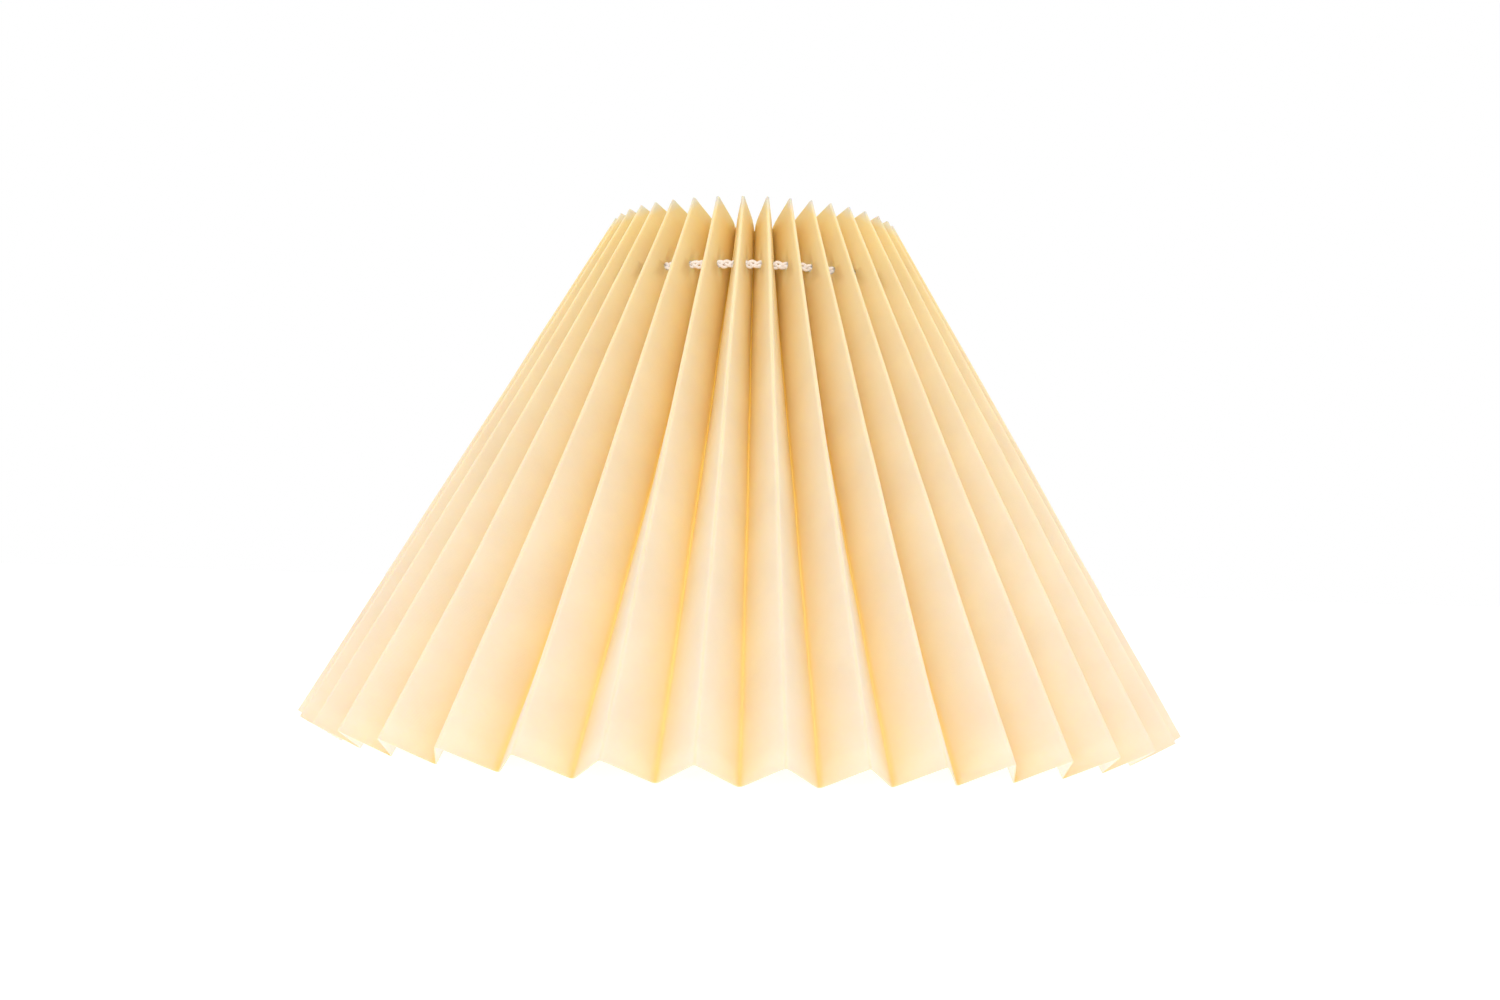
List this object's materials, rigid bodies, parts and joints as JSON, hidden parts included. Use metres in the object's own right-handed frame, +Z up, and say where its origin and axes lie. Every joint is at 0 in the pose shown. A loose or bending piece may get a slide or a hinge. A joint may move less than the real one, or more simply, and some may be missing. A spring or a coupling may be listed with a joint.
{
  "type": "pleated lamp shade",
  "caption": "Pleated cone lamp shade in cream laminated fabric, gathered near the top on a white cord, on a wire carrier with a holder ring.",
  "frame": {"origin": "middle of the circle that the lower edge stands on", "axes": "+Z up along the shade's axis, towards its narrow end; the front faces -Y"},
  "size_m": [0.2996, 0.2996, 0.1792],
  "materials": {
    "shade_fabric": "smooth cream fabric laminated on a white backing",
    "adhesive_tape": "clear double-sided tape",
    "cord": "white braided cotton cord",
    "carrier_wire": "white stove enamel, semi-gloss",
    "reducer_plastic": "white moulded, satin"
  },
  "bodies": {
    "shade": {"pleated_skin": "shade_fabric", "seam_tape": "adhesive_tape", "gathering_cord": "cord", "cord_knot": "cord", "carrier_rim_ring": "carrier_wire", "carrier_spoke_1": "carrier_wire", "carrier_spoke_2": "carrier_wire", "carrier_spoke_3": "carrier_wire", "holder_ring": "carrier_wire"},
    "reducer": {"reducer_ring": "reducer_plastic"}
  },
  "joints": [
    {"name": "reducer_lift", "type": "slide", "parent": "shade", "child": "reducer", "axis": [0, 0, 1], "range_m": [0, 0.08]}
  ]
}
